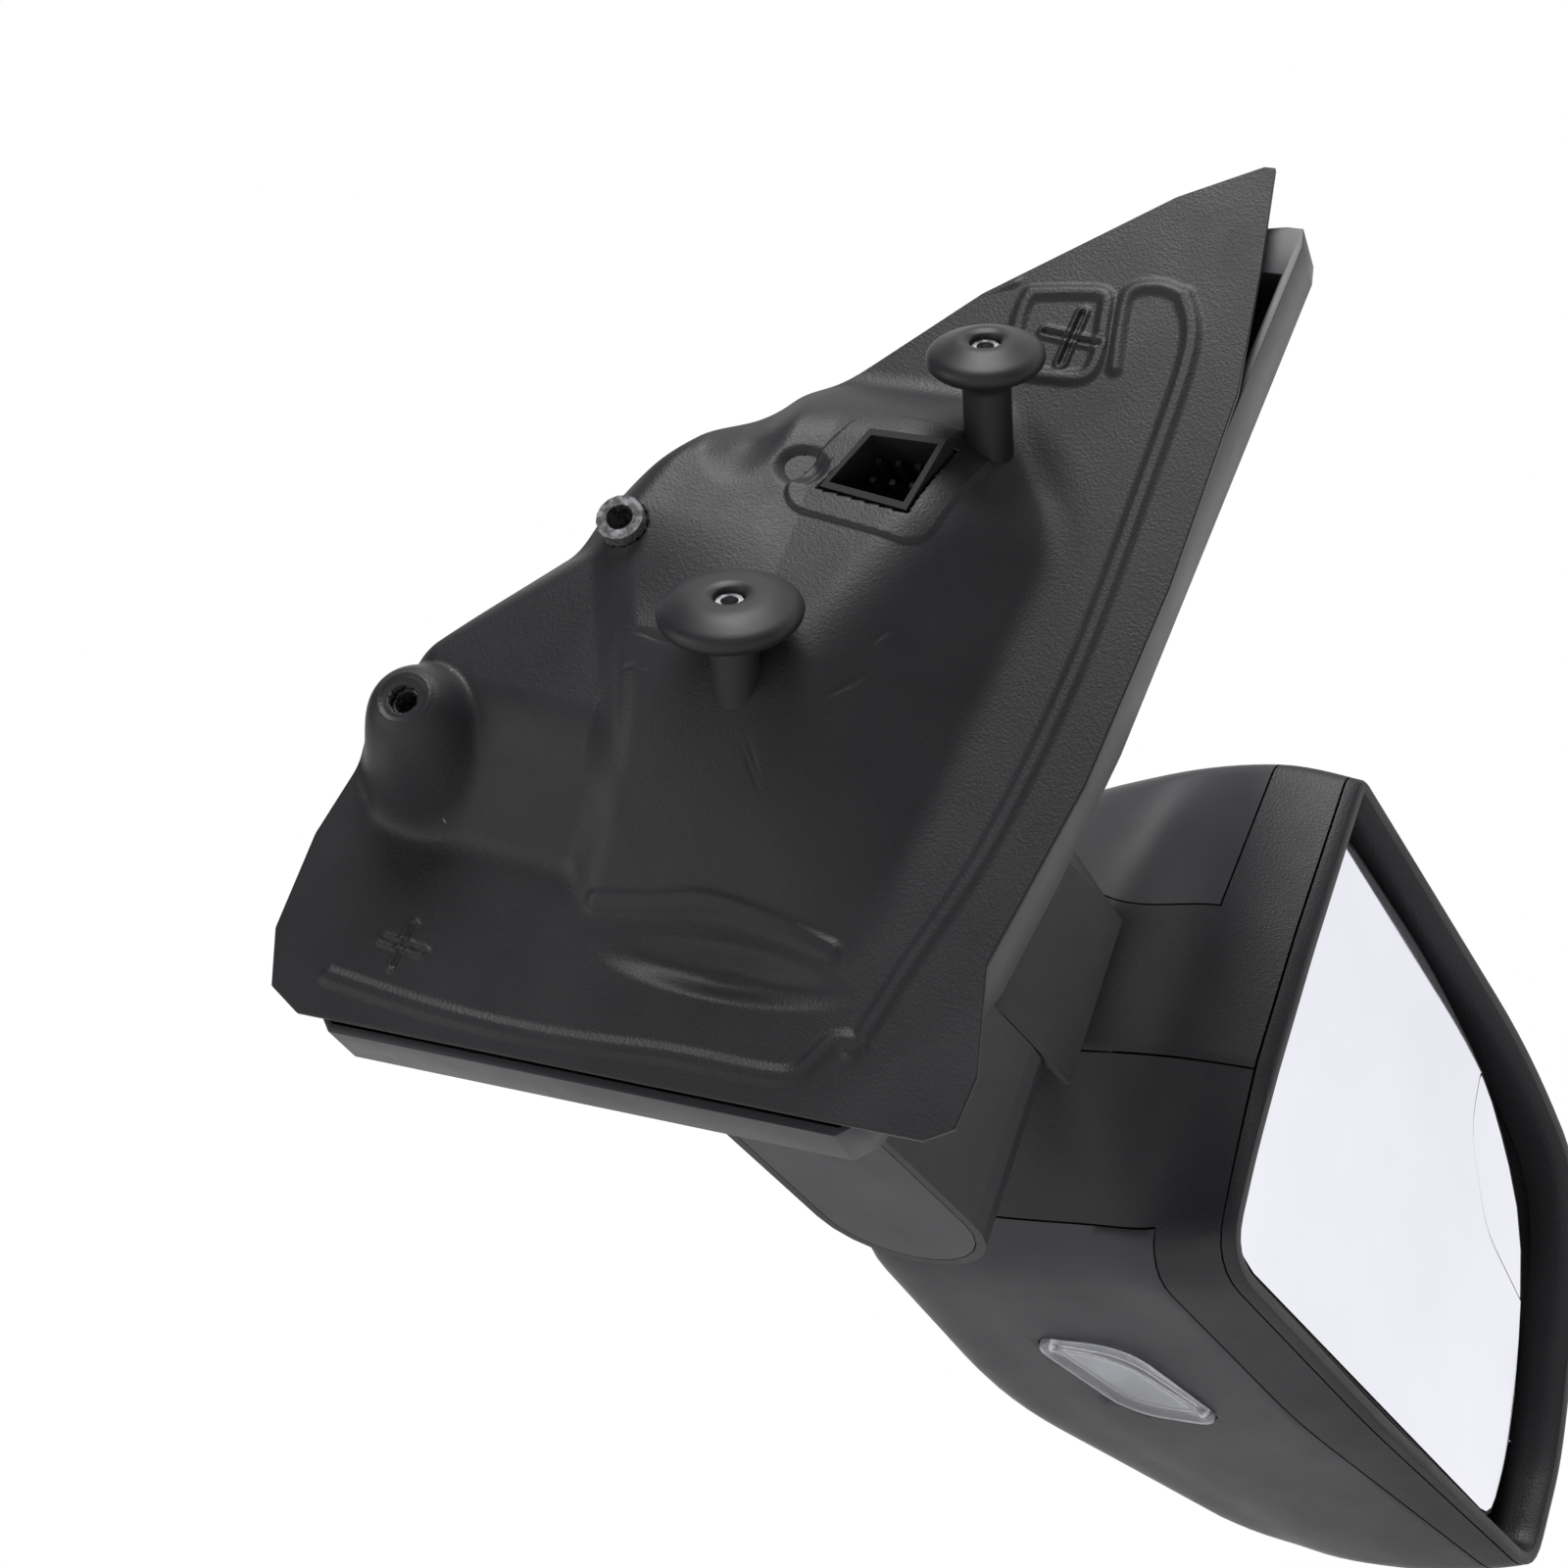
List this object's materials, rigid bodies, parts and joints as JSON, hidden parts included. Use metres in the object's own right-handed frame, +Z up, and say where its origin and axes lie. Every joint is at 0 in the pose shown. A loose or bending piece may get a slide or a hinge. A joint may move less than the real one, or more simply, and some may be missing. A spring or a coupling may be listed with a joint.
{
  "type": "car side mirror",
  "caption": "Right-hand door mirror with a sail that bolts to the door, a folding head, a motor-driven glass with a blind-spot field, and a lamp underneath.",
  "frame": {"origin": "on the sail's sealing plane, just inside its lower rear corner", "axes": "+X away from the car, +Y forward along the car, +Z up"},
  "size_m": [0.4825, 0.25, 0.3034],
  "materials": {
    "seal_foam": "fine grained moulded foam rubber",
    "dowel_rubber": "matt soft rubber",
    "grained_black": "fine leather grain",
    "smooth_black": "smooth satin",
    "inner_black": "plain moulded",
    "nylon": "natural nylon",
    "cast_alloy": "die-cast, blasted",
    "bright_steel": "zinc plated",
    "dark_steel": "phosphated",
    "mirror_glass": "silvered glass",
    "heater_film": "printed film",
    "clear_lens": "clear moulded lens",
    "chrome_reflector": "vacuum metallised",
    "circuit_board": "solder mask"
  },
  "bodies": {
    "door_side": {"seal_gasket": "seal_foam", "base_bracket": "cast_alloy", "dowel_lower": "dowel_rubber", "dowel_upper": "dowel_rubber", "insert_lower": "bright_steel", "insert_upper": "bright_steel", "boss_sleeve": "bright_steel", "ear_bush": "bright_steel", "connector_socket": "inner_black", "sail_cover": "smooth_black", "cover_screw_1": "bright_steel", "cover_screw_2": "bright_steel", "cover_screw_3": "bright_steel", "arm_foot": "grained_black", "foot_cap": "smooth_black", "pivot_post": "dark_steel", "detent_ring": "dark_steel", "thrust_washer": "nylon", "pivot_spring": "dark_steel", "spring_retainer": "dark_steel", "retainer_clip": "dark_steel"},
    "head": {"head_bracket": "cast_alloy", "rim_bezel": "grained_black", "upper_housing": "grained_black", "lower_housing": "grained_black", "skull_cap": "smooth_black", "lower_cover": "smooth_black", "neck_cover": "grained_black", "actuator_base": "inner_black", "actuator_cover": "inner_black", "drive_screw_1": "bright_steel", "drive_screw_2": "bright_steel", "drive_screw_3": "bright_steel", "lamp_lens": "clear_lens", "lamp_gasket": "dowel_rubber", "lamp_reflector": "chrome_reflector", "lamp_board": "circuit_board", "pan_motor": "dark_steel", "tilt_motor": "dark_steel"},
    "gimbal": {"gimbal_ring": "nylon"},
    "glass": {"glass_carrier": "inner_black", "heater_pad": "heater_film", "mirror_glass": "mirror_glass", "spotter_glass": "mirror_glass"},
    "pan_screw": {"pan_jackscrew": "nylon"},
    "tilt_screw": {"tilt_jackscrew": "nylon"},
    "pan_drive_gear": {"pan_gear": "nylon"},
    "tilt_drive_gear": {"tilt_gear": "nylon"},
    "pan_drive_worm": {"pan_worm": "nylon"},
    "tilt_drive_worm": {"tilt_worm": "nylon"}
  },
  "joints": [
    {"name": "fold", "type": "hinge", "parent": "door_side", "child": "head", "pos_m": [0.09544, 0.04463, 0.05216], "axis": [0, 0, 1], "range_deg": [-70, 60]},
    {"name": "glass_pan", "type": "hinge", "parent": "head", "child": "gimbal", "pos_m": [0.27774, -0.02341, 0.10316], "axis": [0, 0, 1], "range_deg": [-7, 7]},
    {"name": "glass_tilt", "type": "hinge", "parent": "gimbal", "child": "glass", "pos_m": [0.27774, -0.02341, 0.10316], "axis": [0.9903, -0.1392, 0], "range_deg": [-7, 7]},
    {"name": "pan_screw_slide", "type": "slide", "parent": "head", "child": "pan_screw", "axis": [0.1392, 0.9903, 0], "range_m": [-0.006, 0.006]},
    {"name": "tilt_screw_slide", "type": "slide", "parent": "head", "child": "tilt_screw", "axis": [0.1392, 0.9903, 0], "range_m": [-0.006, 0.006]},
    {"name": "pan_gear_spin", "type": "hinge", "parent": "head", "child": "pan_drive_gear", "pos_m": [0.24234, -0.00227, 0.10316], "axis": [0.1392, 0.9903, 0], "range_deg": [-170, 170]},
    {"name": "tilt_gear_spin", "type": "hinge", "parent": "head", "child": "tilt_drive_gear", "pos_m": [0.27997, -0.00756, 0.06516], "axis": [0.1392, 0.9903, 0], "range_deg": [-170, 170]},
    {"name": "pan_worm_spin", "type": "hinge", "parent": "head", "child": "pan_drive_worm", "pos_m": [0.25464, -0.0035, 0.10316], "axis": [0, 0, 1], "range_deg": [-700, 700]},
    {"name": "tilt_worm_spin", "type": "hinge", "parent": "head", "child": "tilt_drive_worm", "pos_m": [0.28004, -0.00707, 0.07751], "axis": [0.9903, -0.1392, 0], "range_deg": [-700, 700]}
  ],
  "couplings": [
    {"joint": "pan_screw_slide", "follows": "glass_pan", "m_per_rad": -0.038},
    {"joint": "pan_gear_spin", "follows": "glass_pan", "ratio": -19.897},
    {"joint": "tilt_screw_slide", "follows": "glass_tilt", "m_per_rad": 0.038},
    {"joint": "tilt_gear_spin", "follows": "glass_tilt", "ratio": 19.897},
    {"joint": "pan_worm_spin", "follows": "glass_pan", "ratio": -99.484},
    {"joint": "tilt_worm_spin", "follows": "glass_tilt", "ratio": 99.484}
  ]
}
